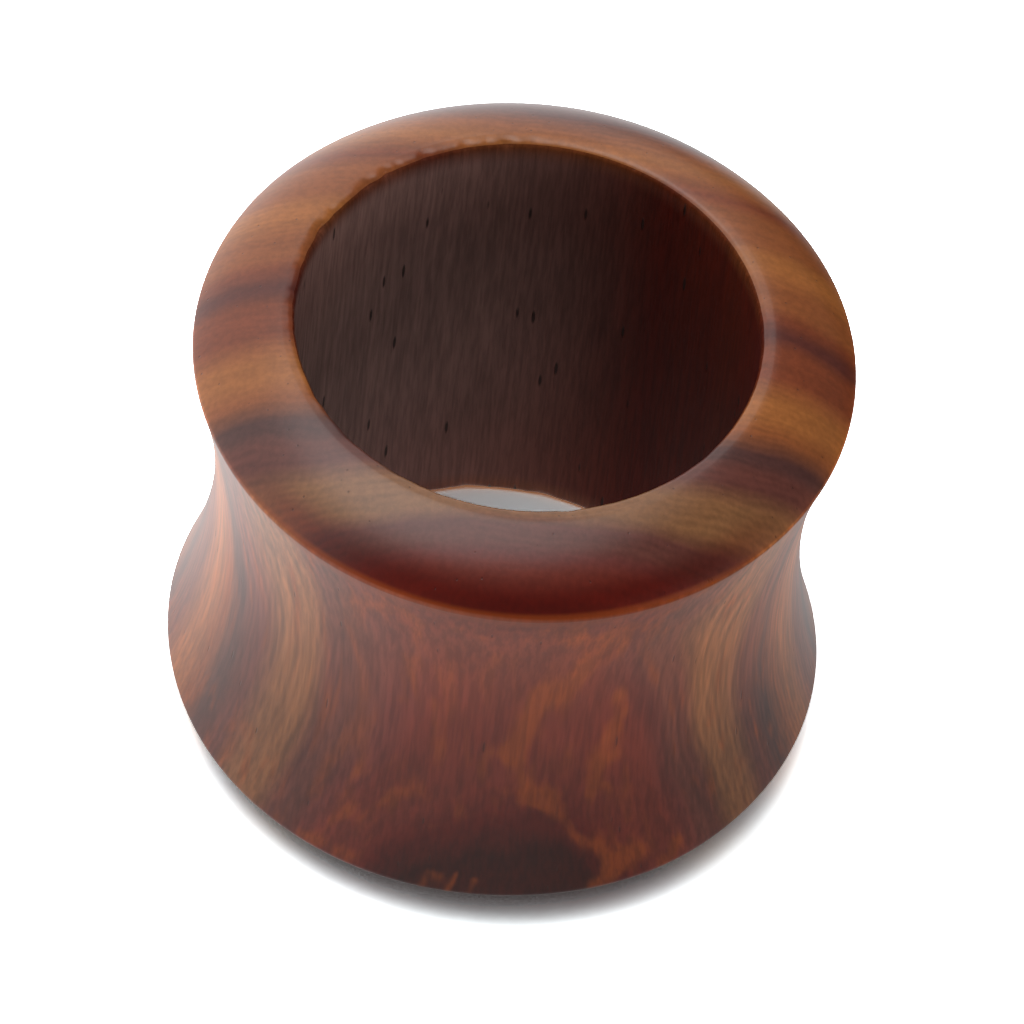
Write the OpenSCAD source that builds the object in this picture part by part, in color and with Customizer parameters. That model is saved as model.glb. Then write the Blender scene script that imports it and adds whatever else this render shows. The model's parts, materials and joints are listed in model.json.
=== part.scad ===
// Wooden flesh tunnel: a one-piece turned tube with a concave waist between two flares,
// worn in a stretched ear lobe. Millimetres, +Z along the bore, origin on the face that
// it stands on, at the middle of the bore.

/* [Waist] */
// Diameter of the waist at its narrowest, which is the size that the jewel is sold by
waist_d = 16; // [14:0.5:17]

/* [Flares] */
// Diameter of the two flares, the widest rings of the tunnel
flare_d = 17.8; // [17.4:0.1:20]
// Radius of the round lip along the edge of each flare
lip_r = 0.2; // [0.1:0.05:0.35]

/* [Ends] */
// Length from end to end
length = 15; // [9:0.5:22]
// Height of each domed end, from the flare's widest ring out to the end plane
dome_h = 1.5; // [1:0.1:2]
// Slope of the dome where it leaves the flat ring, in degrees
dome_slope = 12; // [0:1:20]
// Width of the flat ring round the mouth, which the tunnel stands on
flat_ring_w = 0.2; // [0.1:0.1:0.5]

/* [Bore] */
// Diameter of the straight bore
bore_d = 12.5; // [10:0.1:13]
// Radius of the eased edge at each mouth of the bore
mouth_r = 0.2; // [0.1:0.05:0.4]

/* [Hidden] */
$fn = 180;
// Sides of the big circle that the waist's short arc is cut with
waist_fn = 720;
// How far the cutting shapes reach past the wood
reach = 2;

bore_r = bore_d / 2;
flare_r = flare_d / 2;
waist_r = waist_d / 2;
mid_z = length / 2;

// Middle of the lip's round
lip = [flare_r - lip_r, length - dome_h];

// The dome is one arc, from the flat ring's edge into the lip with no corner there.
ring_edge = [bore_r + mouth_r + flat_ring_w, length];
to_lip = lip - ring_edge;
out_of_dome = [sin(dome_slope), cos(dome_slope)];
dome_r = (to_lip * to_lip - pow(lip_r, 2)) / (-2 * (to_lip * out_of_dome + lip_r));
dome = ring_edge - dome_r * out_of_dome;

// The waist is one hollow arc about a point beside the tunnel. It runs into both lips.
rise = lip[1] - mid_z;
hollow_r = (pow(waist_r - lip[0], 2) + pow(rise, 2) - pow(lip_r, 2)) / (2 * (flare_r - waist_r));
hollow = [waist_r + hollow_r, mid_z];

// A point at distance d from p, on the line from p towards q
function towards(p, q, d) = p + (q - p) * d / norm(q - p);

// The square blank of the wall, from the bore out to the flares
module blank() {
    translate([bore_r, 0])
        square([flare_r - bore_r, length]);
}

// Waste outside the hollow of the waist
module waist_waste() {
    translate(hollow)
        circle(r = hollow_r, $fn = waist_fn);
}

// Waste above the dome
module dome_waste() {
    difference() {
        translate([ring_edge[0], lip[1]])
            square([flare_r - ring_edge[0] + reach, dome_h + reach]);
        translate(dome)
            circle(r = dome_r);
    }
}

// Waste round the lip, between where the dome ends and where the hollow begins
module lip_waste() {
    difference() {
        polygon([
            lip,
            towards(dome, lip, norm(lip - dome) + reach),
            [flare_r + reach, lip[1]],
            towards(lip, hollow, reach)
        ]);
        translate(lip)
            circle(r = lip_r);
    }
}

// Waste at the sharp edge of the bore's mouth
module mouth_waste() {
    difference() {
        translate([bore_r - reach, length - mouth_r])
            square([reach + mouth_r, mouth_r + reach]);
        translate([bore_r + mouth_r, length - mouth_r])
            circle(r = mouth_r);
    }
}

// All that is turned away at the upper end
module end_waste() {
    dome_waste();
    lip_waste();
    mouth_waste();
}

// The wall in section
module wall_outline() {
    difference() {
        blank();
        waist_waste();
        end_waste();
        translate([0, length])
            mirror([0, 1])
                end_waste();
    }
}

// The tunnel, turned from one piece of hardwood
module tunnel() {
    color("saddlebrown")
        rotate_extrude()
            wall_outline();
}

tunnel();
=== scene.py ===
# %% [markdown]
# # A turned wooden flesh tunnel
#
# A flesh tunnel is a short open tube, worn in a stretched ear lobe. This one is turned from a
# single piece of reddish-brown hardwood: a straight bore, domed ends, and a hollow waist between
# two flares that keep it in the lobe. It stands on one end, on a white table.
#
# The CAD model gives its size and shape. It is loaded first, and it stays as it is. This script
# adds what a CAD model leaves out: a finely turned mesh with the marks of hand work, the wood's
# figure, a soft polish, and the light of the photograph. Blender counts in metres here, but a
# jewel this small is easier to think about in millimetres, so MM turns one into the other.

# %% Load the CAD model as the fixed frame
import json
import math

import bpy
import numpy as np
from mathutils import Matrix, Vector, noise
from mathutils.bvhtree import BVHTree


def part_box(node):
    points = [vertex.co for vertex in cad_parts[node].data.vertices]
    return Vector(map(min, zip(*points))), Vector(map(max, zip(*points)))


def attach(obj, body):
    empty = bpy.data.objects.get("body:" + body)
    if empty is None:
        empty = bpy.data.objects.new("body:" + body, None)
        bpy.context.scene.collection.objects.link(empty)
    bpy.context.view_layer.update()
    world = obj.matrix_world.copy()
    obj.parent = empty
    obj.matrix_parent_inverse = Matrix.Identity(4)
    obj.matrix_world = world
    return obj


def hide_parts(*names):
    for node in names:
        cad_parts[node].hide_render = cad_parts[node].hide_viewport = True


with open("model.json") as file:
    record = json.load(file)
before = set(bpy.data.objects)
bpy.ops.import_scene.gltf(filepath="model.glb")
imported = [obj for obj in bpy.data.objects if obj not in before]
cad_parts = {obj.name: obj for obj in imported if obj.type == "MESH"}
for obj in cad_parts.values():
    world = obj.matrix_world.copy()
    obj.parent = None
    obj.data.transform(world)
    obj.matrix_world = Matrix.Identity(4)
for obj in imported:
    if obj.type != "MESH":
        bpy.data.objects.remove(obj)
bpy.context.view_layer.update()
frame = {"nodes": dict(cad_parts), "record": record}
MM = 0.001

tunnel_low, tunnel_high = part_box("tunnel")
flare_r = (tunnel_high.x - tunnel_low.x) / 2 / MM
length = (tunnel_high.z - tunnel_low.z) / MM
print(f"CAD tunnel: flares {2 * flare_r:.1f} mm across, {length:.1f} mm long")

# %% [markdown]
# ## The camera
#
# The photograph was taken from far away through a long lens, so the tunnel's two ends keep
# nearly the same width. Such a view is matched with a long focal length and a far camera, not
# with an orthographic one, because a little perspective is left. The camera looks down by about
# 51 degrees, and is rolled a little, so the tunnel leans in the picture.

# %% Place the camera
LENS_MM = 562.5
SENSOR_MM = 36
CAMERA_ELEVATION = math.radians(51.36)
CAMERA_ROLL = math.radians(6.66)
CAMERA_DISTANCE = 48.66  # in flare radii, from the middle of the tunnel
OFF_CENTRE = (-0.0108, 0.0402)  # of the tunnel's middle, right and up, in flare radii
SIGHT = (0.01, 10)  # metres, the nearest and farthest that the camera sees


def camera_axes(elevation, roll):
    """The camera's right, up and backward axes: in front of the tunnel, rolled about its view."""
    back = Vector((0, -math.cos(elevation), math.sin(elevation)))
    level_right = Vector((1, 0, 0))
    level_up = back.cross(level_right)
    right = math.cos(roll) * level_right + math.sin(roll) * level_up
    return right, back.cross(right), back


right, up, back = camera_axes(CAMERA_ELEVATION, CAMERA_ROLL)
middle = Vector((0, 0, length / 2 * MM))
reach = CAMERA_DISTANCE * back - OFF_CENTRE[0] * right - OFF_CENTRE[1] * up

camera = bpy.data.objects.new("camera", bpy.data.cameras.new("camera"))
camera.data.lens = LENS_MM
camera.data.sensor_width = SENSOR_MM
camera.data.clip_start, camera.data.clip_end = SIGHT
camera.matrix_world = Matrix((right, up, back)).transposed().to_4x4()
camera.location = middle + reach * flare_r * MM
bpy.context.scene.collection.objects.link(camera)
bpy.context.scene.camera = camera
print("camera at", [round(c, 4) for c in camera.location], "metres")

# %% [markdown]
# ## The profile
#
# A turner shapes the wood by its profile, so the mesh starts there too: points of radius and
# height, in millimetres, from the middle of the bore up over the mouth, the flat ring, the dome
# and the lip to the waist. The lower half is the same, mirrored. The bore, its eased mouth and the
# flat ring come from the mounts in the CAD model's record. The arcs are worked out just as in the
# CAD model, so each runs into the next with no corner.

# %% Read the bore and the ring from the record
mounts = {mount["name"]: mount for mount in frame["record"]["mounts"]}
bore_r = mounts["through_bore"]["dims"]["r_mm"]
mouth_r = (length - mounts["through_bore"]["dims"]["length_mm"]) / 2
ring_middle = mounts["standing_ring"]["pos_m"][0] / MM
ring_width = 2 * (ring_middle - bore_r - mouth_r)
print(f"bore {2 * bore_r:.1f} mm, mouth eased by {mouth_r:.1f} mm, ring {ring_width:.1f} mm wide")

# %% Lay out the arcs
WAIST_R = 8.0
LIP_R = 0.2
DOME_H = 1.5  # from the middle of the lip's round to the end
DOME_SLOPE = math.radians(12)  # of the dome where it leaves the flat ring

mouth = np.array([bore_r + mouth_r, length - mouth_r])
lip = np.array([flare_r - LIP_R, length - DOME_H])
ring_edge = np.array([bore_r + mouth_r + ring_width, length])

# The dome is one arc from the ring's edge into the lip.
to_lip = lip - ring_edge
out_of_dome = np.array([math.sin(DOME_SLOPE), math.cos(DOME_SLOPE)])
dome_r = (to_lip @ to_lip - LIP_R**2) / (-2 * (to_lip @ out_of_dome + LIP_R))
dome = ring_edge - dome_r * out_of_dome

# The waist is one hollow arc about a point beside the tunnel, touching both lips.
rise = lip[1] - length / 2
hollow_r = ((WAIST_R - lip[0]) ** 2 + rise**2 - LIP_R**2) / (2 * (flare_r - WAIST_R))
hollow = np.array([WAIST_R + hollow_r, length / 2])
print(f"dome radius {dome_r:.2f} mm, hollow radius {hollow_r:.2f} mm")


# %% Draw the upper half of the profile
EDGE_ZONE = 1  # mm of the bore next to the mouth, with closer rows for its torn edge
BARE_END = 0.76 * math.pi  # how far round the mouth's edge the bore's finish reaches


def arc(centre, radius, start, end, steps):
    """Points along an arc without its last one. Angles are in radians from straight outwards."""
    turn = np.linspace(start, end, steps, endpoint=False)
    return np.stack([centre[0] + radius * np.cos(turn), centre[1] + radius * np.sin(turn)], -1)


def straight(start, end, steps):
    """Points along a straight line without its last one."""
    return np.linspace(start, end, steps, endpoint=False)


lip_in = math.atan2(*(lip - dome)[::-1])
lip_out = math.atan2(*(hollow - lip)[::-1])

# Each stretch has its zone and its points. The last number is how many rows of points it has.
half_profile = [
    ("bore", straight((bore_r, length / 2), (bore_r, mouth[1] - EDGE_ZONE), 16)),
    ("bore", straight((bore_r, mouth[1] - EDGE_ZONE), (bore_r, mouth[1]), 10)),
    ("bore", arc(mouth, mouth_r, math.pi, BARE_END, 5)),
    ("mouth", arc(mouth, mouth_r, BARE_END, math.pi / 2, 6)),
    ("ring", straight((mouth[0], length), ring_edge, 4)),
    ("dome", arc(dome, dome_r, math.pi / 2 - DOME_SLOPE, lip_in, 16)),
    ("lip", arc(lip, LIP_R, lip_in, lip_out, 8)),
    ("waist", arc(hollow, hollow_r, math.pi + lip_out, math.pi, 26)),
    ("waist", np.array([[WAIST_R, length / 2]])),
]
upper = np.concatenate([points for _, points in half_profile])
upper_zones = [zone for zone, points in half_profile for _ in points]
print(f"{len(upper)} rows from the middle of the bore to the middle of the waist")

# %% Mirror it into the whole profile
lower = upper[-2:0:-1] * [1, -1] + [0, length]
profile = np.concatenate([upper, lower])
zones = upper_zones + upper_zones[-2:0:-1]
print(f"{len(profile)} rows round the profile")

# %% [markdown]
# ## The marks of hand work
#
# Spinning the profile gives a true turning, but real wood isn't that true. The flares were
# sanded by hand, so their surface swells by a few hundredths of a millimetre. The drill tore
# short fibres out of the bore's edge, worst at the back left. Both could be bump in a material,
# but then the outline would stay perfect. So they are moved into the mesh itself, along the
# profile's normals. Both are smooth noise, which gives the same surface each time.

# %% Find the normals of the profile
tangents = np.roll(profile, -1, 0) - np.roll(profile, 1, 0)
tangents /= np.linalg.norm(tangents, axis=1)[:, None]
outward = np.stack([-tangents[:, 1], tangents[:, 0]], -1)
print("at the middle of the bore the normal points", outward[0].round(2), "in radius and height")

# %% Say how the flares were sanded
SANDING_DEPTH = 0.03  # mm
SANDING_SIZE = 5.0  # mm from one swell to the next
SANDED = {"dome", "lip", "waist"}


def sanding(place):
    """How far the sanded surface lies above the true turning here, in mm."""
    return SANDING_DEPTH * noise.noise(place / SANDING_SIZE)


print(f"sanded zones: {sorted(SANDED)}, up to {SANDING_DEPTH} mm off the true turning")

# %% Say how the drill tore the edge
EDGE_RUB = 0.012  # mm that every part of the edge is rubbed away
TEAR_DEPTH = 0.36  # mm where the noise is at its very highest, which it seldom is
TEAR_SIZE = 0.75
CHIP_SIZE = 0.4 * TEAR_SIZE  # of the small chips in the tears
CHIP_SHARE = 0.35
TORN_SIDE = math.radians(138)  # where the tearing is worst, seen from above
TORN_SPREAD = math.radians(42)
TORN_ANYWHERE = 0.1  # share of the tearing that the whole edge has
TORN_ABOVE, TORN_BELOW = 0.9, 0.2  # share added on the torn side of each end
END_SHIFT = 20  # so that the noise differs between the two ends


def tearing(angle, height):
    """How much wood is rubbed or torn off the bore's edge at this angle, in mm."""
    off = math.remainder(angle - TORN_SIDE, 2 * math.pi)
    at_worst = TORN_ABOVE if height > length / 2 else TORN_BELOW
    share = TORN_ANYWHERE + at_worst * math.exp(-((off / TORN_SPREAD) ** 2))
    end = math.copysign(END_SHIFT, height - length / 2)
    along = Vector((bore_r * math.cos(angle), bore_r * math.sin(angle), end))
    torn = max(0.0, noise.noise(along / TEAR_SIZE)) + CHIP_SHARE * noise.noise(along / CHIP_SIZE)
    return EDGE_RUB + TEAR_DEPTH * share * max(0.0, torn)


deepest = max(tearing(math.radians(degree), length) for degree in range(360))
print(f"the upper edge loses up to {deepest:.2f} mm")

# %% [markdown]
# ## The turned mesh
#
# Now the profile is spun into rings of points, 480 to a turn, so the outline stays smooth in a
# close view. A Screw modifier would spin it too, but the marks of hand work differ from spoke to
# spoke, so each point is placed here. Every face is shaded smooth, so the rows don't show. The
# finished mesh rides on the CAD model's one body and stands in for its tunnel, and the distance
# between the two is measured as a check.

# %% Spin the profile
SPOKES = 480
EDGE_WIDTH = 0.16  # mm from the mouth's edge that the tearing reaches
TOO_LITTLE = 0.01  # share of the tearing that isn't worth moving a row for


def edge_share(row):
    """How much of the mouth's tearing reaches this row of the profile, from 0 to 1."""
    r, z = profile[row]
    corner = (bore_r, length if z > length / 2 else 0)
    gap = max(0.0, math.dist((r, z), corner) - mouth_r * (math.sqrt(2) - 1))
    return math.exp(-((gap / EDGE_WIDTH) ** 2))


shares = [edge_share(row) for row in range(len(profile))]
vertices = []
for row, (r, z) in enumerate(profile):
    for spoke in range(SPOKES):
        angle = 2 * math.pi * spoke / SPOKES
        spoke_way = Vector((math.cos(angle), math.sin(angle), 0))
        lift = 0.0
        if zones[row] in SANDED:
            lift += sanding(spoke_way * r + Vector((0, 0, z)))
        if shares[row] > TOO_LITTLE:
            lift -= shares[row] * tearing(angle, z)
        place = spoke_way * (r + lift * outward[row][0])
        place.z = z + lift * outward[row][1]
        vertices.append(place * MM)
print(f"{len(vertices)} points on {SPOKES} spokes")

# %% Join the rows with faces
faces, face_zones = [], []
for row in range(len(profile)):
    below = (row + 1) % len(profile)
    for spoke in range(SPOKES):
        beside = (spoke + 1) % SPOKES
        corners = ((row, spoke), (below, spoke), (below, beside), (row, beside))
        faces.append([r * SPOKES + s for r, s in corners])
        face_zones.append(zones[row])

mesh = bpy.data.meshes.new("turned_tunnel")
mesh.from_pydata(vertices, [], faces)
mesh.polygons.foreach_set("use_smooth", [True] * len(faces))
tunnel = bpy.data.objects.new("turned_tunnel", mesh)
bpy.context.scene.collection.objects.link(tunnel)
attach(tunnel, "root")
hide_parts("tunnel")
print(f"turned tunnel: {len(vertices)} vertices, {2 * len(faces)} triangles")

# %% Measure it against the CAD solid
EVERY = 37  # points from one that is measured to the next

cad_mesh = frame["nodes"]["tunnel"].data
cad_tree = BVHTree.FromPolygons(
    [v.co for v in cad_mesh.vertices], [p.vertices[:] for p in cad_mesh.polygons]
)
gaps = [cad_tree.find_nearest(place)[3] / MM for place in vertices[::EVERY]]
print(f"it lies within {max(gaps):.2f} mm of the CAD solid, and {np.mean(gaps):.3f} mm on average")

# %% [markdown]
# ## Tools for the nodes
#
# A wood material is a few hundred small nodes. Made one by one they would hide the idea behind
# them, so a few helpers come first. One adds a node with its settings and inputs in a single
# line. The others do sums with numbers and places, blend colours, and make the noise that nearly
# all of the figure comes from. The last ones make a node group with named sockets and place it
# in a material. A group is used for each effect that both finishes of the wood share, and for the
# long grain, whose many nodes would crowd the polished wood.


# %% Make the helper that adds a node
def put(tree, kind, inputs=None, **settings):
    """Adds a shader node. Each input is a plain value or another node's output."""
    made = tree.nodes.new("ShaderNode" + kind)
    for name, value in settings.items():
        setattr(made, name, value)
    for name, value in (inputs or {}).items():
        if isinstance(value, bpy.types.NodeSocket):
            tree.links.new(value, made.inputs[name])
        else:
            made.inputs[name].default_value = value
    return made


print("put() adds a node and wires its inputs")


# %% Make the helpers for numbers and places
def maths(tree, operation, *values):
    """The result of a math node."""
    return put(tree, "Math", dict(enumerate(values)), operation=operation).outputs[0]


def vectors(tree, operation, *values):
    """The result of a vector math node: a number for a length or a dot product."""
    made = put(tree, "VectorMath", dict(enumerate(values)), operation=operation)
    return made.outputs["Value" if operation in ("LENGTH", "DOT_PRODUCT") else "Vector"]


def scaled(tree, vector, size):
    """A place or a colour times a number."""
    inputs = {0: vector, "Scale": size}
    return put(tree, "VectorMath", inputs, operation="SCALE").outputs[0]


def coordinates(tree, vector):
    """The x, y and z of a place or a direction."""
    return tuple(put(tree, "SeparateXYZ", {0: vector}).outputs)


def place_at(tree, x, y, z):
    """The place with these coordinates."""
    return put(tree, "CombineXYZ", {0: x, 1: y, 2: z}).outputs[0]


def between(tree, value, low, high):
    """0 below low, 1 above high, and a smooth step between them."""
    inputs = {"Value": value, "From Min": low, "From Max": high}
    return put(tree, "MapRange", inputs, interpolation_type="SMOOTHSTEP").outputs[0]


print("maths, vectors, scaled, coordinates, place_at and between give numbers and places")


# %% Make the helpers for noise and blending
def clouds(tree, place, scale, detail, roughness=0.5):
    """Soft noise, mostly near one half. A larger scale makes it finer."""
    inputs = {"Vector": place, "Scale": scale, "Detail": detail, "Roughness": roughness}
    return put(tree, "TexNoise", inputs).outputs["Fac"]


def blend(tree, factor, under, over, how="MIX"):
    """Two colours blended."""
    inputs = {0: factor, 6: under, 7: over}
    return put(tree, "Mix", inputs, data_type="RGBA", blend_type=how).outputs[2]


def blend_values(tree, factor, under, over):
    """Two numbers blended."""
    return put(tree, "Mix", {0: factor, 2: under, 3: over}).outputs[0]


def shading(tree, pattern, depth):
    """Brightness about 1 that follows a pattern about one half, as deep as depth says."""
    return maths(tree, "MULTIPLY_ADD", maths(tree, "SUBTRACT", pattern, 0.5), depth, 1.0)


print("clouds, blend, blend_values and shading give patterns and colours")


# %% Make the helpers for node groups
def start_group(name, inputs, outputs):
    """A new node group with these named sockets, and its input and output nodes."""
    tree = bpy.data.node_groups.new(name, "ShaderNodeTree")
    kinds = {float: "NodeSocketFloat", tuple: "NodeSocketColor", Vector: "NodeSocketVector"}
    for label, value in inputs.items():
        socket = tree.interface.new_socket(label, in_out="INPUT", socket_type=kinds[type(value)])
        socket.default_value = value
    for label, kind in outputs.items():
        tree.interface.new_socket(label, in_out="OUTPUT", socket_type=kinds[kind])
    given, results = tree.nodes.new("NodeGroupInput"), tree.nodes.new("NodeGroupOutput")
    return tree, given.outputs, results.inputs


def place_group(tree, group, **inputs):
    """A group placed in a tree, with its own values. Returns its outputs."""
    made = tree.nodes.new("ShaderNodeGroup")
    made.node_tree = group
    for name, value in inputs.items():
        socket = made.inputs[name.replace("_", " ")]
        if isinstance(value, bpy.types.NodeSocket):
            tree.links.new(value, socket)
        else:
            socket.default_value = value
    return made.outputs


def start_material(name):
    """A new material with an empty node tree."""
    material = bpy.data.materials.new(name)
    material.use_nodes = True
    material.node_tree.nodes.clear()
    return material, material.node_tree


print("start_group, place_group and start_material build what the nodes stand in")

# %% [markdown]
# ## The growth sheets
#
# The figure comes from one fact: the tree's growth layers lie in the wood as nearly flat sheets.
# Here they stand upright, stacked from front to back, with the fibres along the bore. A colour
# that depends only on the depth in that stack then gives what the photograph shows: straight
# stripes across the domed ends, upright stripes on the sides, and a dark heart low on the front,
# where the hollow waist cuts the sheets at a low angle. A picture wrapped round the tunnel would
# need a seam, and its stripes would break at the lip. So the group works from the place in the
# wood, which Texture Coordinate's Object output gives, and nothing is unwrapped. That place moves
# with the piece, so the figure never slides over it.
#
# No tree grows quite flat sheets. These lean and fan out a little, and they wander and ripple by
# noise that is drawn out along the fibres. Where the photograph shows one bending further, a
# swell pushes the sheets aside: low on the front it spreads the dark heart, and on both sides
# it bends the upright stripes.

# %% Say where the sheets swell
# Each swell has its middle and its reach, both in x, y and z, and then what it adds to the
# depth, all in mm. Less than zero brings sheets from nearer the front to this place.
SWELLS = [
    ((0.6, -8.6, 2.2), (7.0, 4.2, 3.6), -0.65),
    ((-1.2, -8.6, 4.4), (1.0, 3.0, 1.6), 0.22),
    ((-3.2, -7.9, 5.5), (1.2, 2.5, 3.0), 0.22),
    ((0.6, -8.4, 12.0), (3.8, 2.5, 2.6), 0.35),
    ((2.4, -8.0, 8.5), (1.0, 2.5, 3.5), -0.15),
    ((4.4, -6.7, 7.0), (1.6, 1.6, 3.0), -0.45),
    ((4.8, -6.9, 11.2), (1.6, 1.6, 2.4), 0.35),
    ((6.4, -5.6, 3.2), (2.4, 2.4, 3.0), -0.4),
    ((-4.0, -7.0, 7.5), (1.4, 1.6, 4.0), -0.35),
    ((7.2, -4.3, 11.0), (1.6, 1.8, 3.0), -0.8),
    ((-7.2, -4.3, 11.0), (1.6, 1.8, 3.0), -0.8),
]
print(f"{len(SWELLS)} swells, up to {max(abs(push) for *_, push in SWELLS)} mm high")

# %% Stack the sheets
LEAN = 0.03  # mm that a sheet runs back for each mm to the right, on the tunnel's axis
FAN = 0.009  # how much more it does so for each mm nearer the front

tree, given, results = start_group(
    "growth_sheets",
    {
        "Lean": LEAN,
        "Fan": FAN,
        "Wander": 0.25,
        "Wander Size": 5.0,
        "Ripple": 0.13,
        "Ripple Size": 1.2,
    },
    {"Place": Vector, "Depth": float},
)
place_mm = scaled(tree, put(tree, "TexCoord").outputs["Object"], 1 / MM)
x, y, _ = coordinates(tree, place_mm)
fanned = maths(tree, "MULTIPLY_ADD", y, maths(tree, "MULTIPLY", given["Fan"], -1.0), given["Lean"])
depth = maths(tree, "SUBTRACT", y, maths(tree, "MULTIPLY", x, fanned))
slopes = [LEAN + FAN * nearer for nearer in (flare_r, -flare_r)]
print(f"the sheets' slope is {slopes[0]:.2f} at the front and {slopes[1]:.2f} at the back")

# %% Let them swell
for centre, size, push in SWELLS:
    off = vectors(tree, "DIVIDE", vectors(tree, "SUBTRACT", place_mm, centre), size)
    square = vectors(tree, "DOT_PRODUCT", off, off)
    bulge = maths(tree, "EXPONENT", maths(tree, "MULTIPLY", square, -1.0))
    depth = maths(tree, "MULTIPLY_ADD", bulge, push, depth)
print(f"{len(tree.nodes)} nodes so far")

# %% Let them wander and ripple
ALONG_FIBRE = (1, 1, 0.22)  # noise changes this much more slowly along the fibres
WANDER_DETAIL, RIPPLE_DETAIL = 1.0, 2.0

drawn_out = vectors(tree, "MULTIPLY", place_mm, ALONG_FIBRE)


def drift(size, amount, detail):
    """How far the sheets stray from flat, in mm, either way: noise of that size."""
    value = clouds(tree, drawn_out, maths(tree, "DIVIDE", 1.0, size), detail)
    both_ways = maths(tree, "SUBTRACT", value, 0.5)
    return maths(tree, "MULTIPLY", both_ways, maths(tree, "MULTIPLY", amount, 2.0))


depth = maths(tree, "ADD", depth, drift(given["Wander Size"], given["Wander"], WANDER_DETAIL))
depth = maths(tree, "ADD", depth, drift(given["Ripple Size"], given["Ripple"], RIPPLE_DETAIL))
tree.links.new(place_mm, results["Place"])
tree.links.new(depth, results["Depth"])
growth_sheets = tree
print(f"growth sheets: {len(tree.nodes)} nodes")

# %% [markdown]
# ## The colours of the sheets
#
# The tree laid down tan, amber, copper, red-brown, plum and nearly black layers by turns. They
# were charted from the front of the stack to the back, as a list of depths and tones. A colour
# ramp turns a number into a colour, and it holds 32 stops at most, which is just enough for the
# whole stack. Two neighbours of the same tone make a sheet of even colour, and two that differ run
# into each other.

# %% Name the tones
TONES = {
    "tan": (0.335, 0.113, 0.029),
    "amber": (0.262, 0.078, 0.024),
    "copper": (0.232, 0.100, 0.040),
    "red brown": (0.195, 0.046, 0.018),
    "cherry": (0.162, 0.028, 0.017),
    "wine": (0.148, 0.034, 0.027),
    "dark red": (0.098, 0.008, 0.004),
    "black red": (0.038, 0.003, 0.001),
    "plum": (0.125, 0.038, 0.028),
    "slate": (0.083, 0.031, 0.026),
    "dusk": (0.104, 0.026, 0.018),
    "night": (0.115, 0.038, 0.030),
}
print(f"{len(TONES)} tones, from {min(TONES, key=TONES.get)} to {max(TONES, key=TONES.get)}")

# %% Chart the sheets
STACK = (-9.2, 9.2)  # mm, the depths at the two ends of the ramp
SHEETS = [
    (-9.15, "black red"),
    (-8.75, "dark red"),
    (-8.3, "cherry"),
    (-7.85, "cherry"),
    (-7.5, "wine"),
    (-7.2, "plum"),
    (-6.75, "plum"),
    (-6.3, "copper"),
    (-5.5, "copper"),
    (-4.85, "plum"),
    (-4.4, "plum"),
    (-4.05, "slate"),
    (-3.8, "slate"),
    (-3.1, "amber"),
    (-2.5, "tan"),
    (-1.9, "tan"),
    (-1.45, "amber"),
    (-1.05, "red brown"),
    (-0.1, "red brown"),
    (0.35, "dusk"),
    (0.55, "dusk"),
    (1.05, "red brown"),
    (1.5, "amber"),
    (2.1, "amber"),
    (2.9, "tan"),
    (3.3, "tan"),
    (3.75, "amber"),
    (4.8, "amber"),
    (5.35, "red brown"),
    (6.3, "tan"),
    (7.0, "amber"),
    (7.8, "night"),
]
print(f"{len(SHEETS)} stops, {SHEETS[-1][0] - SHEETS[0][0]:.1f} mm from the first to the last")

# %% Build the sheet colours group
tree, given, results = start_group("sheet_colours", {"Depth": 0.0}, {"Colour": tuple})
way_back = {"Value": given["Depth"], "From Min": STACK[0], "From Max": STACK[1]}
ramp = put(tree, "ValToRGB", {"Fac": put(tree, "MapRange", way_back).outputs[0]})
stops = ramp.color_ramp.elements
while len(stops) < len(SHEETS):
    stops.new(0.5)
for stop, (depth, tone) in zip(stops, SHEETS):
    stop.position = (depth - STACK[0]) / (STACK[1] - STACK[0])
    stop.color = (*TONES[tone], 1)
tree.links.new(ramp.outputs["Color"], results["Colour"])
sheet_colours = tree
print(f"a ramp of {len(stops)} stops in {len(TONES)} tones")

# %% [markdown]
# ## Fine grain
#
# Inside each sheet there are finer lines a few tenths of a millimetre apart, and along the
# fibres there are short streaks. Both are noise that is squeezed across the sheets and drawn out
# along the fibres. On the domed ends the photograph also shows the year rings as regular thin
# stripes, clear in some places and lost in others. A sine wave over the depth draws these, pushed
# out of step by noise so that no two gaps are the same, and masked by more noise.

# %% Draw the lines inside the sheets
LINE_STRETCH = (0.35, 0.22)  # how slowly the lines change in x and z
LINE_ROUGHNESS = 0.4
LINE_EDGES = (0.25, 0.75)  # of the noise, from a dark line to a pale one

tree, given, results = start_group(
    "fine_grain",
    {"Place": Vector(), "Depth": 0.0, "Line Gap": 0.22, "Streak Width": 0.16},
    {"Lines": float, "Streaks": float},
)
x, _, z = coordinates(tree, given["Place"])
across = maths(tree, "DIVIDE", given["Depth"], given["Line Gap"])
line_place = place_at(
    tree,
    maths(tree, "MULTIPLY", x, LINE_STRETCH[0]),
    across,
    maths(tree, "MULTIPLY", z, LINE_STRETCH[1]),
)
lines = between(tree, clouds(tree, line_place, 1.0, 1.0, LINE_ROUGHNESS), *LINE_EDGES)
print(f"lines: {len(tree.nodes)} nodes")

# %% Add the year rings
RINGS_PER_GAP = 1.1  # rings to each line gap
RING_WAVER = 3.0  # rings that the noise puts them out of step
RING_STRETCH = (0.5, 0.5, 0.2)
CLEAR_SCALE = 0.6
CLEAR_EDGES = (0.4, 0.6)  # of the noise that shows the rings or hides them
RING_START = (-7.9, -7.0)  # depth where the rings set in, behind the dark heart
RING_SHARE = 0.35

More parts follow.
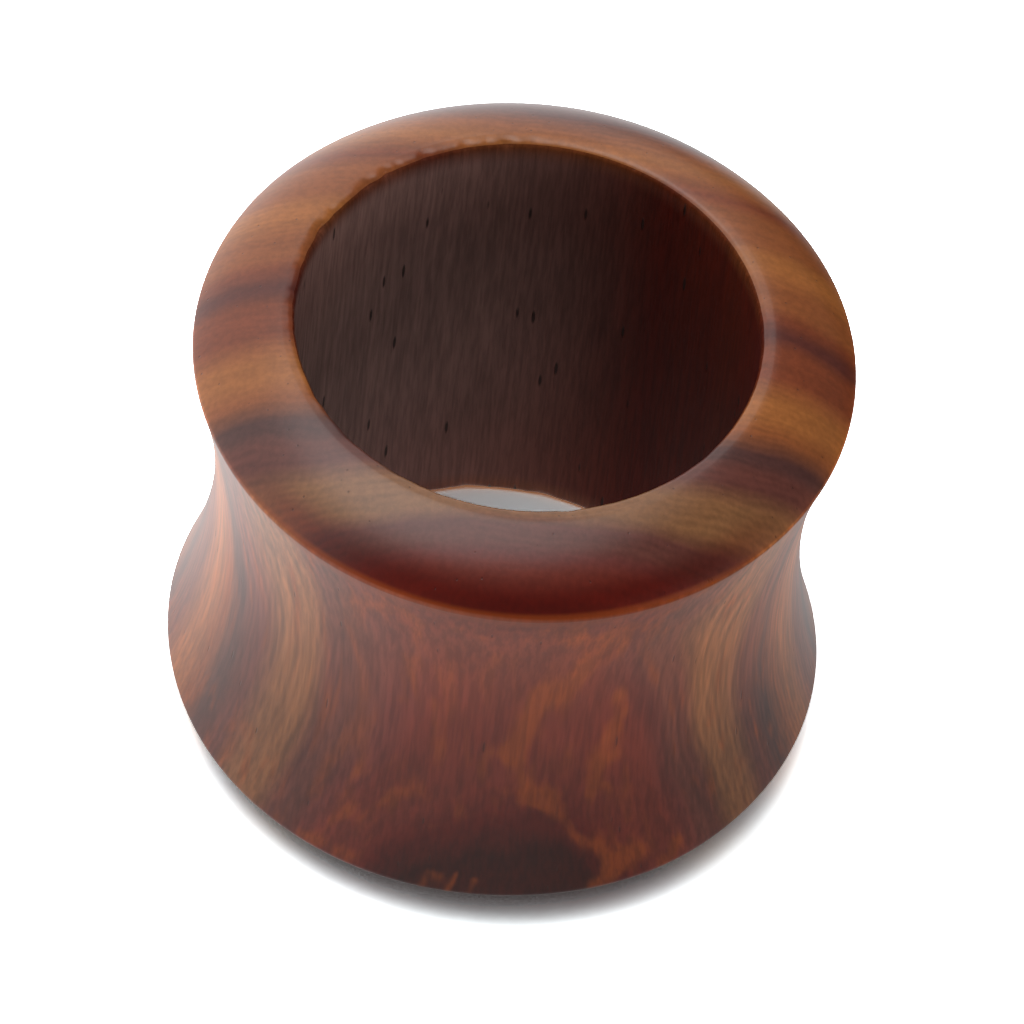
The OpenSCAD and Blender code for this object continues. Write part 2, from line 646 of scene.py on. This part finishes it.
ring_place = vectors(tree, "MULTIPLY", given["Place"], RING_STRETCH)
waver = clouds(tree, ring_place, 1.0, 1.0)
steps = maths(tree, "MULTIPLY", across, RINGS_PER_GAP)
turns = maths(tree, "MULTIPLY_ADD", waver, RING_WAVER, steps)
rings = maths(tree, "SINE", maths(tree, "MULTIPLY", turns, 2 * math.pi))
clear = between(tree, clouds(tree, ring_place, CLEAR_SCALE, 0.0), *CLEAR_EDGES)
clear = maths(tree, "MULTIPLY", clear, between(tree, given["Depth"], *RING_START))
lines = maths(tree, "MULTIPLY_ADD", maths(tree, "MULTIPLY", rings, clear), RING_SHARE, lines)
tree.links.new(lines, results["Lines"])
print(f"lines and rings: {len(tree.nodes)} nodes")

# %% Add the streaks along the fibres
STREAK_STRETCH = (1, 1, 0.07)
STREAK_ROUGHNESS = 0.6
STREAK_EDGES = (0.3, 0.7)

streak_place = vectors(tree, "MULTIPLY", given["Place"], STREAK_STRETCH)
thin = maths(tree, "DIVIDE", 1.0, given["Streak Width"])
streaks = clouds(tree, streak_place, thin, 2.0, STREAK_ROUGHNESS)
tree.links.new(between(tree, streaks, *STREAK_EDGES), results["Streaks"])
fine_grain = tree
print(f"fine grain: {len(tree.nodes)} nodes")

# %% [markdown]
# ## Pores
#
# The pores are the tree's open vessels: dots on the end grain, and short dark dashes where the
# bore and the waist cut them lengthwise. A cell pattern (Voronoi) scatters points, one to each
# cell of an even grid, and the distance from the nearest point makes a round dot. Drawn out along
# the fibres, the same dots become dashes on the side of the wood, so one pattern gives both.

# %% Build the pores group
PORE_CORE = 0.6  # share of the pore's radius that is fully dark

tree, given, results = start_group(
    "pores",
    {"Place": Vector(), "Spacing": 0.4, "Radius": 0.05, "Length": 8.0},
    {"Mask": float},
)
squeeze = place_at(tree, 1.0, 1.0, maths(tree, "DIVIDE", 1.0, given["Length"]))
pore_place = vectors(tree, "MULTIPLY", given["Place"], squeeze)
scale = maths(tree, "DIVIDE", 1.0, given["Spacing"])
cells = put(tree, "TexVoronoi", {"Vector": pore_place, "Scale": scale, "Randomness": 1.0})
edge = {
    "Value": maths(tree, "MULTIPLY", cells.outputs["Distance"], given["Spacing"]),
    "From Min": maths(tree, "MULTIPLY", given["Radius"], PORE_CORE),
    "From Max": given["Radius"],
    "To Min": 1.0,
    "To Max": 0.0,
}
tree.links.new(put(tree, "MapRange", edge).outputs[0], results["Mask"])
pores = tree
print(f"pores: {len(tree.nodes)} nodes")

# %% [markdown]
# ## Long grain
#
# End grain soaks up the oil and looks deeper, while the side of the wood, where the fibres lie
# along the surface, stays lighter and warmer. The group tells the two apart by the surface's
# normal: at the ends it points along the fibres, which run upright. On the side the group also
# paints light: the side is made paler at the right and higher up, where more light fell, and is
# left deepest at the foot, in painted shade. So the lightening grows with the place too. It has
# two parts: a tint that warms the dark sheets, and a gain that brightens everything.

# %% Chart the lighter parts of the side, where light is painted
END_FACING = (0.25, 0.75)  # how squarely the surface faces up or down, from side to end
# Painted light: the side is made paler towards the right and higher up, where more light fell on
# it, and the foot is left darker, in painted shade.
PALE_RIGHT, PALE_UP = (3.5, 7.5), (3, 9)  # mm in x and z, over which the right side grows pale
TINT_UP, GAIN_UP = (7, 12), (3.0, 10.5)  # mm in z, over which tint and gain grow upwards
PALE_TINT, HIGH_TINT = 0.25, 0.18
PALE_GAIN, HIGH_GAIN = 0.95, 0.92
WARM_TINT = (0.25, 0.095, 0.040, 1)

tree, given, results = start_group(
    "long_grain",
    {"Colour": (0.2, 0.05, 0.02, 1), "Place": Vector(), "Depth": 0.0, "Lift": 0.03, "Flames": 0.6},
    {"Colour": tuple, "Share": float},
)
facing = coordinates(tree, put(tree, "TexCoord").outputs["Normal"])[2]
end_share = between(tree, maths(tree, "ABSOLUTE", facing), *END_FACING)
side_share = maths(tree, "SUBTRACT", 1.0, end_share)
x, y, z = coordinates(tree, given["Place"])
lit_right = maths(tree, "MULTIPLY", between(tree, x, *PALE_RIGHT), between(tree, z, *PALE_UP))
tree.links.new(side_share, results["Share"])
print(f"the right side grows pale from x {PALE_RIGHT[0]} to {PALE_RIGHT[1]} mm")

# %% Tint the side and set its gain
# The tint and gain that grow to the right and upwards are painted light.
tint = maths(tree, "MULTIPLY_ADD", lit_right, PALE_TINT, given["Lift"])
tint = maths(tree, "MULTIPLY_ADD", between(tree, z, *TINT_UP), HIGH_TINT, tint)
tinted = blend(tree, maths(tree, "MULTIPLY", side_share, tint), given["Colour"], WARM_TINT)
gain = maths(tree, "MULTIPLY", lit_right, PALE_GAIN)
gain = maths(tree, "MULTIPLY_ADD", between(tree, z, *GAIN_UP), HIGH_GAIN, gain)
brightness = maths(tree, "MULTIPLY_ADD", side_share, gain, 1.0)
print(f"gain up to {1 + PALE_GAIN + HIGH_GAIN:.2f}")

# %% [markdown]
# ## Flames
#
# On the front, where the waist just grazes the sheets, orange flames flicker along the fibres.
# Noise alone gives flames of the right size, but not where the photograph has them. So the
# flames start as noise, and tongues add to it: each is a soft line from one place to another,
# and close to it the noise is lifted until a flame shows. Their edges are made ragged by more
# noise, which shifts the place that is compared with the line.

# %% Chart the tongues
# Each tongue of flame runs from one place to another, given by x and z in mm as seen from the
# front. Then come its width and how much it adds to the flicker.
TONGUES = [
    ((3.4, 11.4), (1.6, 9.3), 0.6, 0.28),
    ((1.6, 9.3), (0.7, 6.6), 0.5, 0.3),
    ((0.7, 6.6), (1.7, 4.9), 0.4, 0.36),
    ((1.7, 4.9), (4.0, 2.0), 0.28, 0.32),
    ((3.7, 8.8), (3.3, 6.0), 0.35, 0.3),
    ((3.3, 6.0), (3.2, 4.8), 0.25, 0.24),
    ((3.5, 5.0), (4.2, 3.4), 0.14, 0.16),
    ((-0.9, 10.4), (-1.2, 8.4), 0.4, 0.14),
    ((-2.2, 10.0), (-2.4, 8.0), 0.5, 0.18),
    ((-2.4, 8.0), (-3.2, 4.6), 0.35, 0.16),
    ((-1.0, 6.6), (-2.0, 5.0), 0.4, 0.12),
    ((-2.0, 4.4), (-3.6, 2.4), 0.22, 0.14),
    ((-3.4, 12.3), (1.5, 12.6), 0.6, 0.1),
    ((2.6, 12.4), (4.2, 12.2), 0.6, 0.2),
    ((-6.9, 1.7), (-6.3, 3.4), 0.4, 0.12),
    ((-1.2, 1.5), (-1.0, 1.9), 0.24, 0.32),
    ((-0.5, 1.5), (-0.4, 2.0), 0.2, 0.3),
    ((0.2, 1.5), (0.3, 1.9), 0.16, 0.3),
    ((3.8, 1.5), (4.3, 2.2), 0.4, 0.42),
    ((5.3, 1.5), (5.5, 2.0), 0.25, 0.36),
    ((-4.6, 1.6), (-3.2, 1.8), 0.25, 0.16),
]
print(f"{len(TONGUES)} tongues of flame")

# %% Set the long grain flickering
FLICKER = (1.5, 3.0, 0.2)  # how fast it changes in x, in depth and in z
FLICKER_DETAIL = 1.8
SWAY = 5.0  # how far slow noise bends the flicker
SWAY_SCALE = 0.16

sway = clouds(tree, given["Place"], SWAY_SCALE, 0.0)
flame_place = place_at(
    tree,
    maths(tree, "MULTIPLY_ADD", sway, SWAY, maths(tree, "MULTIPLY", x, FLICKER[0])),
    maths(tree, "MULTIPLY", given["Depth"], FLICKER[1]),
    maths(tree, "MULTIPLY", z, FLICKER[2]),
)
flicker = clouds(tree, flame_place, 1.0, FLICKER_DETAIL)
print(f"flicker: {len(tree.nodes)} nodes")

# %% Kindle it along the tongues
RAG = 0.8  # mm that ragged edges take up
RAG_STRETCH = (1, 1, 0.3)
RAG_SCALE = 1.3
FRONT_HALF = (-2.5, -4.5)  # mm in y, from no tongues to full ones

rag_place = vectors(tree, "MULTIPLY", given["Place"], RAG_STRETCH)
rag = clouds(tree, rag_place, RAG_SCALE, 1.0)
shifted = maths(tree, "MULTIPLY_ADD", rag, RAG, maths(tree, "SUBTRACT", x, RAG / 2))
front_place = place_at(tree, shifted, 0.0, z)
kindled = 0.0
for start, end, width, kindling in TONGUES:
    start = Vector((start[0], 0, start[1]))
    way = Vector((end[0], 0, end[1])) - start
    off = vectors(tree, "SUBTRACT", front_place, start)
    passed = vectors(tree, "DOT_PRODUCT", off, way / way.length_squared)
    passed = put(tree, "Clamp", {"Value": passed}).outputs[0]
    off = vectors(tree, "SUBTRACT", off, scaled(tree, way, passed))
    square = vectors(tree, "DOT_PRODUCT", off, off)
    near = maths(tree, "EXPONENT", maths(tree, "MULTIPLY", square, -1 / width**2))
    kindled = maths(tree, "MULTIPLY_ADD", near, kindling, kindled)
kindled = maths(tree, "MULTIPLY", kindled, between(tree, y, *FRONT_HALF))
print(f"flicker and tongues: {len(tree.nodes)} nodes")

# %% Colour the flames
HEART_EDGE = (-8.95, -8.45)  # depth where the dark heart ends, which only tongues light up
KINDLED_EDGE = (0.0, 0.35)
FLAME_EDGE = (0.5, 0.88)  # of the flicker, from no flame to a full one
FLAME_TONE = (0.30, 0.070, 0.010, 1)
SIDE_WARMTH = (1.0, 0.86, 0.78, 1)  # the side's colours are multiplied by it

heart = between(tree, given["Depth"], *HEART_EDGE)
heart = maths(tree, "MAXIMUM", heart, between(tree, kindled, *KINDLED_EDGE))
strength = maths(tree, "MULTIPLY", maths(tree, "MULTIPLY", side_share, given["Flames"]), heart)
flame = between(tree, maths(tree, "ADD", flicker, kindled), *FLAME_EDGE)
flame = maths(tree, "MULTIPLY", flame, strength)
flaming = scaled(tree, blend(tree, flame, tinted, FLAME_TONE), brightness)
flaming = blend(tree, side_share, flaming, SIDE_WARMTH, "MULTIPLY")
tree.links.new(flaming, results["Colour"])
long_grain = tree
print(f"long grain: {len(tree.nodes)} nodes")

# %% [markdown]
# ## The polished wood
#
# Outside, the tunnel was sanded fine and oiled. The oil deepens the colours and leaves a satin
# surface, which mirrors the white table as a pale haze where it is seen at a low angle. The haze
# itself needs no painted highlights: the Principled shader with one even, low roughness does it.
# A roughness that followed the fine lines would only break the haze into cracks.
#
# The sheets give the colour, the long grain changes it on the side, and lines, streaks and pores
# shade it. Two more things are painted at the front edge of the domes: painted shade turns the end
# grain there a deep red, and a painted highlight makes the upper one's very rim a thin bright
# line.

# %% Start the polished wood from its figure
polished, tree = start_material("polished_wood")
sheets = place_group(tree, growth_sheets)
colour = place_group(tree, sheet_colours, Depth=sheets["Depth"])["Colour"]
grain = place_group(tree, fine_grain, Place=sheets["Place"], Depth=sheets["Depth"])
pore = place_group(tree, pores, Place=sheets["Place"], Radius=0.035)["Mask"]
figured = place_group(
    tree, long_grain, Colour=colour, Place=sheets["Place"], Depth=sheets["Depth"]
)
print(f"polished wood: {len(tree.nodes)} nodes and groups")

# %% Shade it with lines, streaks and pores
LINES_ON_END, LINES_ON_SIDE = 0.16, 0.28
STREAKS_ON_END, STREAKS_ON_SIDE = 0.2, 0.38
PORE_SHARE = 0.5
PORE_TONE = (0.03, 0.010, 0.007, 1)

side = figured["Share"]
line_depth = maths(tree, "MULTIPLY_ADD", side, LINES_ON_SIDE - LINES_ON_END, LINES_ON_END)
streak_depth = maths(tree, "MULTIPLY_ADD", side, STREAKS_ON_SIDE - STREAKS_ON_END, STREAKS_ON_END)
line_shade = shading(tree, grain["Lines"], line_depth)
streak_shade = shading(tree, grain["Streaks"], streak_depth)
shade = maths(tree, "MULTIPLY", line_shade, streak_shade)
colour = scaled(tree, figured["Colour"], shade)
colour = blend(tree, maths(tree, "MULTIPLY", pore, PORE_SHARE), colour, PORE_TONE)
print(f"with lines, streaks and pores: {len(tree.nodes)} nodes and groups")

# %% Paint shade on the front of the dome and a highlight on its rim
# Painted shade: near the lip, the front of each dome faces the dark side of the room, so its end
# grain is darkened to a deep red.
FRONT = (-4.0, -7.5)  # mm in y, from neither to both in full
LIP_SHADE_BAND = (flare_r - 1.0, flare_r - 0.25)  # mm from the axis
LIP_SHADE_TONE = (0.60, 0.16, 0.08, 1)
# Painted highlight: the upper lip's front edge catches the table's light, so its rim is a thin
# bright orange line.
LIT_RIM_BAND = (flare_r - 0.12, flare_r - 0.02)
LIT_RIM_SHARE = 0.4
LIT_RIM_TONE = (0.42, 0.085, 0.012, 1)
UPPER_HALF = (7, 8)  # mm in z, because only the upper rim gets the painted highlight

_, y, z = coordinates(tree, sheets["Place"])
out = vectors(tree, "LENGTH", vectors(tree, "MULTIPLY", sheets["Place"], (1, 1, 0)))
front = between(tree, y, *FRONT)
end_grain = maths(tree, "SUBTRACT", 1.0, side)
lip_shade = maths(tree, "MULTIPLY", between(tree, out, *LIP_SHADE_BAND), end_grain)
lip_shade = maths(tree, "MULTIPLY", lip_shade, front)
colour = blend(tree, lip_shade, colour, LIP_SHADE_TONE, "MULTIPLY")
lit_rim = maths(tree, "MULTIPLY", between(tree, out, *LIT_RIM_BAND), front)
lit_rim = maths(tree, "MULTIPLY", lit_rim, between(tree, z, *UPPER_HALF))
colour = blend(tree, maths(tree, "MULTIPLY", lit_rim, LIT_RIM_SHARE), colour, LIT_RIM_TONE)
print(f"the soaked band is {LIP_SHADE_BAND[1] - LIP_SHADE_BAND[0]:.2f} mm wide")

# %% Polish it
STREAK_RELIEF = 0.15  # as high as this share of a pore's depth

height = maths(tree, "MULTIPLY", grain["Streaks"], STREAK_RELIEF)
height = maths(tree, "MULTIPLY_ADD", pore, -1.0, height)
relief = put(tree, "Bump", {"Height": height, "Strength": 0.5, "Distance": 0.00001})
finish = {"Base Color": colour, "Roughness": 0.28, "IOR": 1.5, "Normal": relief.outputs[0]}
shader = put(tree, "BsdfPrincipled", finish)
tree.links.new(shader.outputs[0], put(tree, "OutputMaterial").inputs["Surface"])
print(f"polished wood: {len(tree.nodes)} nodes and groups")

# %% [markdown]
# ## The bare wood of the bore
#
# Inside, the wood is as the drill left it: dull, greyer, with open pores. It is a second material
# that places the same groups with its own values, so the figure runs on from the end into the
# bore. The oil was wiped a little way in, so the finish changes over from the mouth inwards and
# not at a line. Light and a grey sheen on the bore's back left are painted into its colour as a
# pale grey tone, palest in a belt above the middle and darker lower down, in painted shade, while
# the right and the front keep a dark red tone.

# %% Start the bare wood from its figure
bare, tree = start_material("bare_wood")
sheets = place_group(tree, growth_sheets)
colour = place_group(tree, sheet_colours, Depth=sheets["Depth"])["Colour"]
grain = place_group(
    tree, fine_grain, Place=sheets["Place"], Depth=sheets["Depth"], Streak_Width=0.1
)
pore = place_group(
    tree, pores, Place=sheets["Place"], Spacing=0.42, Radius=0.055, Length=6.0
)["Mask"]
print(f"bare wood: {len(tree.nodes)} groups")

# %% Find where it stayed dry, and where light is painted on the bore
OIL_REACH = (0.0, 0.9)  # mm from the end of the tunnel, from oiled to dry
# Painted light and sheen: towards the back left the bore is made pale grey, most of all in a belt
# above the middle; lower down it stays darker, as painted shade.
LIGHT_SIDE = Vector((math.cos(math.radians(140)), math.sin(math.radians(140)), 0))
LIGHT_EDGES = (0.1, 1.35)  # bore radii towards that side, from dark to pale
BELT_FOOT, BELT_RISE = (0.5, 8.5), 0.62  # mm in z, and how much paler it gets over them
BELT_TOP, BELT_FALL = (9.5, 12.5), -0.3
BELT_LEAST = 0.48

height_mm = coordinates(tree, sheets["Place"])[2]
from_end = maths(tree, "MINIMUM", height_mm, maths(tree, "SUBTRACT", length, height_mm))
dry = between(tree, from_end, *OIL_REACH)
sideways = vectors(tree, "DOT_PRODUCT", sheets["Place"], LIGHT_SIDE)
lit_side = between(tree, maths(tree, "DIVIDE", sideways, bore_r), *LIGHT_EDGES)
belt = maths(tree, "MULTIPLY_ADD", between(tree, height_mm, *BELT_FOOT), BELT_RISE, BELT_LEAST)
belt = maths(tree, "MULTIPLY_ADD", between(tree, height_mm, *BELT_TOP), BELT_FALL, belt)
lit_side = maths(tree, "MULTIPLY", lit_side, belt)
print(f"the belt is palest from z {BELT_FOOT[1]} to {BELT_TOP[0]} mm")

# %% Colour the bore
# The pale grey tone is painted light and sheen; the dark red is the bore away from it.
LIT_BORE_TONE = (0.35, 0.215, 0.185, 1)
DARK_BORE_TONE = (0.062, 0.003, 0.0005, 1)
EDGE_TONE = (0.070, 0.008, 0.004, 1)
DUST_AND_LIGHT = 0.96  # how much of the figure the drill's dust and dried oil cover, with the painted light and shade
EDGE_OIL = 0.7  # how much of it the oil at the edge covers
BORE_LINES, BORE_STREAKS = 0.16, 0.34
BORE_PORE_SHARE = 0.8
BORE_PORE_TONE = (0.015, 0.008, 0.006, 1)

inner_tone = blend(tree, DUST_AND_LIGHT, colour, blend(tree, lit_side, DARK_BORE_TONE, LIT_BORE_TONE))
colour = blend(tree, dry, blend(tree, EDGE_OIL, colour, EDGE_TONE), inner_tone)
line_shade = shading(tree, grain["Lines"], BORE_LINES)
streak_shade = shading(tree, grain["Streaks"], BORE_STREAKS)
colour = scaled(tree, colour, maths(tree, "MULTIPLY", line_shade, streak_shade))
colour = blend(tree, maths(tree, "MULTIPLY", pore, BORE_PORE_SHARE), colour, BORE_PORE_TONE)
print(f"bare wood: {len(tree.nodes)} nodes and groups")

# %% Leave it dull
BORE_STREAK_RELIEF = 0.3
OILED_ROUGHNESS, DRY_ROUGHNESS = 0.34, 0.69

height = maths(tree, "MULTIPLY", grain["Streaks"], BORE_STREAK_RELIEF)
height = maths(tree, "MULTIPLY_ADD", pore, -1.0, height)
relief = put(tree, "Bump", {"Height": height, "Strength": 0.8, "Distance": 0.00003})
rougher = DRY_ROUGHNESS - OILED_ROUGHNESS
finish = {
    "Base Color": colour,
    "Roughness": maths(tree, "MULTIPLY_ADD", dry, rougher, OILED_ROUGHNESS),
    "IOR": 1.5,
    "Specular IOR Level": 0.07,
    "Normal": relief.outputs[0],
}
shader = put(tree, "BsdfPrincipled", finish)
tree.links.new(shader.outputs[0], put(tree, "OutputMaterial").inputs["Surface"])
print(f"roughness from {OILED_ROUGHNESS} at the mouth to {DRY_ROUGHNESS} inside")

# %% Give each zone its finish
mesh.materials.append(polished)
mesh.materials.append(bare)
mesh.polygons.foreach_set("material_index", [int(zone == "bore") for zone in face_zones])
print(f"{face_zones.count('bore')} of {len(faces)} faces are bare wood")

# %% [markdown]
# ## The table
#
# The photograph was taken on a white table and exposed until the table ran into pure white. Only
# the narrow shadow where the lower flare meets it is left, and the shaded ground that shows
# through the bore. The wood still mirrors the table as it really was: bright behind and to the
# left, where the window lights it, and dim at the right.
#
# Exposing the whole picture that much would burn out the wood too. So the paper is two things,
# told apart by Light Path: for the camera it is brighter than any paper, as overexposure makes
# it, and for the light and the reflections it is plain card with a glow on the window's side.
# Ambient Occlusion, which tells how much open sky a spot has, finds the contact shadow.

# %% Lay the table
TABLE_HALF = 1.5  # metres
BELOW = 0.00001  # metres, so that the tunnel's flat ring doesn't flicker with it

table_mesh = bpy.data.meshes.new("white_table")
table_corners = [(-1, -1), (1, -1), (1, 1), (-1, 1)]
table_mesh.from_pydata(
    [(x * TABLE_HALF, y * TABLE_HALF, -BELOW) for x, y in table_corners], [], [(0, 1, 2, 3)]
)
table = bpy.data.objects.new("white_table", table_mesh)
bpy.context.scene.collection.objects.link(table)
print(f"the table is {2 * TABLE_HALF} m wide")

# %% Expose it for the camera
PAPER = 0.6
OVEREXPOSURE = 7.0
EXPOSED_INSIDE = 3.2  # exposure of the ground inside the bore, in the tunnel's own shade
INSIDE_EDGE = 0.4  # mm over which it changes to the table outside
CONTACT_REACH = 0.002  # metres that the contact shadow reaches
CONTACT_OPEN = (0.2, 0.68)  # share of open sky, from full shadow to none
CONTACT_DARK = 0.3  # exposure where the shadow is full

card, tree = start_material("white_card")
seen = put(tree, "LightPath").outputs["Is Camera Ray"]
openness = put(tree, "AmbientOcclusion", {"Distance": CONTACT_REACH}, samples=8).outputs["AO"]
open_share = between(tree, openness, *CONTACT_OPEN)
exposure = blend_values(tree, open_share, CONTACT_DARK, OVEREXPOSURE)
spot = put(tree, "TexCoord").outputs["Object"]
off_axis = vectors(tree, "LENGTH", spot)
outside = between(tree, off_axis, bore_r * MM, (bore_r + INSIDE_EDGE) * MM)
exposure = blend_values(tree, outside, EXPOSED_INSIDE, exposure)
exposure = blend_values(tree, seen, 1.0, exposure)
print(f"for the camera the paper is {OVEREXPOSURE:.0f} times as bright")

# %% Shade it and let it glow for the reflections
SHADE = (0.001, 0.0235)  # metres to the right, from where the table dims to where it is dark
GLOW_WAY = Vector((-0.2, 1, 0)).normalized()  # towards the side that the window lights
GLOW_FROM, GLOW_TO = -0.017, 0.008  # metres along that way
GLOW = 0.66

shade = between(tree, coordinates(tree, spot)[0], *SHADE)
lit_share = maths(tree, "MAXIMUM", seen, maths(tree, "SUBTRACT", 1.0, shade))
paper = maths(tree, "MULTIPLY", maths(tree, "MULTIPLY", exposure, PAPER), lit_share)
along = vectors(tree, "DOT_PRODUCT", spot, GLOW_WAY)
glow = maths(tree, "MULTIPLY", between(tree, along, GLOW_FROM, GLOW_TO), GLOW)
glow = maths(tree, "MULTIPLY", glow, lit_share)
glow = maths(tree, "MULTIPLY", glow, maths(tree, "SUBTRACT", 1.0, seen))
print(f"the table dims over {(SHADE[1] - SHADE[0]) / MM:.1f} mm to the right")

# %% Give it its colour
WHITE = (1, 1, 1, 1)
SEEN_INSIDE, SEEN_OUTSIDE = (0.88, 1.0, 1.03, 1), (0.93, 1.0, 1.02, 1)  # cool, as shadows are

neutral = blend(tree, seen, WHITE, blend(tree, outside, SEEN_INSIDE, SEEN_OUTSIDE))
sheet = put(tree, "BsdfDiffuse", {"Color": scaled(tree, neutral, paper)})
window_light = put(tree, "Emission", {"Strength": glow})
both = put(tree, "AddShader", {0: sheet.outputs[0], 1: window_light.outputs[0]})
tree.links.new(both.outputs[0], put(tree, "OutputMaterial").inputs["Surface"])
table_mesh.materials.append(card)
print(f"white card: {len(tree.nodes)} nodes")

# %% [markdown]
# ## The light of the room
#
# The reflections in the polished dome tell where the light was. A broad softbox hung almost
# overhead, and pale walls near a window stood behind and to the left. The right-hand side was
# dark, so the wood has its deepest colour there, and so was the side where the camera stood. Lamps
# would show as sharp shapes in the polish, so the world's background holds them all, as soft
# patches of brightness round the directions that they stood in. The camera sees plain white
# instead.

# %% Describe a soft patch of light
world = bpy.data.worlds.new("pale_room")
bpy.context.scene.world = world
world.use_nodes = True
tree = world.node_tree
tree.nodes.clear()
way = put(tree, "TexCoord").outputs["Generated"]


def soft_patch(towards, spread, brightness):
    """How bright the room is in the ray's direction because of one soft patch of light."""
    facing = vectors(tree, "DOT_PRODUCT", way, towards)
    return maths(tree, "MULTIPLY", between(tree, facing, *spread), brightness)


print("soft_patch() lights one side of the room")

# %% Light the room
SOFTBOX_WAY = Vector((-0.15, 0.05, 0.987))
SOFTBOX_SPREAD = (0.81, 0.978)  # cosines, from where it starts to its brightest
SOFTBOX_STRENGTH = 2.0
WALL_WAY = Vector((-0.8, 0.52, 0.28)).normalized()
WALL_SPREAD = (0.22, 0.55)
WALL_STRENGTH = 1.0
ROOM_STRENGTH = 0.09  # of the darker rest of the room

softbox = soft_patch(SOFTBOX_WAY, SOFTBOX_SPREAD, SOFTBOX_STRENGTH)
wall = soft_patch(WALL_WAY, WALL_SPREAD, WALL_STRENGTH)
lit = maths(tree, "ADD", maths(tree, "ADD", softbox, wall), ROOM_STRENGTH)
strength = maths(tree, "MAXIMUM", lit, put(tree, "LightPath").outputs["Is Camera Ray"])
room = put(tree, "Background", {"Color": WHITE, "Strength": strength})
tree.links.new(room.outputs[0], put(tree, "OutputWorld").inputs["Surface"])
print(f"the softbox spreads {math.degrees(math.acos(SOFTBOX_SPREAD[0])):.0f} degrees either way")

# %% [markdown]
# ## The fill light
#
# The low front of the tunnel leans towards the dark side of the room, and yet the photograph
# shows its figure clearly. So a weak light came from the front right as well. It is a disc lamp
# that reflections don't show, because the polish there mirrors no lamp. A lamp's energy is its
# total power, so it is worked out from how bright the disc should look and how large it is.

# %% Hang the fill light
FILL_PLACE = Vector((0.43, -0.23, 0.09))
FILL_SIZE = 0.36  # metres across
FILL_RADIANCE = 2.9

fill = bpy.data.lights.new("fill_light", "AREA")
fill.shape = "DISK"
fill.size = FILL_SIZE
fill.energy = FILL_RADIANCE * math.pi * (math.pi * FILL_SIZE**2 / 4)
fill_light = bpy.data.objects.new("fill_light", fill)
fill_light.location = FILL_PLACE
fill_light.rotation_euler = (middle - FILL_PLACE).to_track_quat("-Z", "Y").to_euler()
fill_light.visible_camera = False
fill_light.visible_glossy = False
bpy.context.scene.collection.objects.link(fill_light)
print(f"fill light: {fill.energy:.2f} W, {(FILL_PLACE - middle).length:.2f} m away")

# %% [markdown]
# ## Finishing
#
# The Standard view keeps the colours as they are worked out, so a white table ends up pure white.
# Other views would roll it off to grey.

# %% Choose the view of the colours
bpy.context.scene.view_settings.view_transform = "Standard"
print("view:", bpy.context.scene.view_settings.view_transform)
